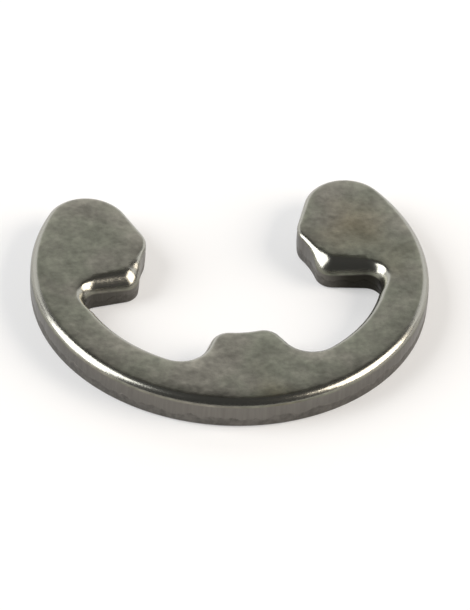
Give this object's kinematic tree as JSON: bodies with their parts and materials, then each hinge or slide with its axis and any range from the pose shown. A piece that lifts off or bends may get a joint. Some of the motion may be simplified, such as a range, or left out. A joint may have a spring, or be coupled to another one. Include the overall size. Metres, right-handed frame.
{
  "type": "e clip",
  "caption": "Flat open retaining ring stamped from spring steel, with three inward lugs that grip a shaft groove and a flared side mouth.",
  "frame": {"origin": "on the axis of the pin's groove, in the clip's lower face", "axes": "+Z along the pin's axis, out of the rounded upper face; +Y out of the open mouth"},
  "size_m": [0.007, 0.0058, 0.0006],
  "materials": {
    "spring_steel": "hardened and tumbled, semi-matte grey"
  },
  "bodies": {
    "root": {"e_clip": "spring_steel"}
  },
  "joints": []
}
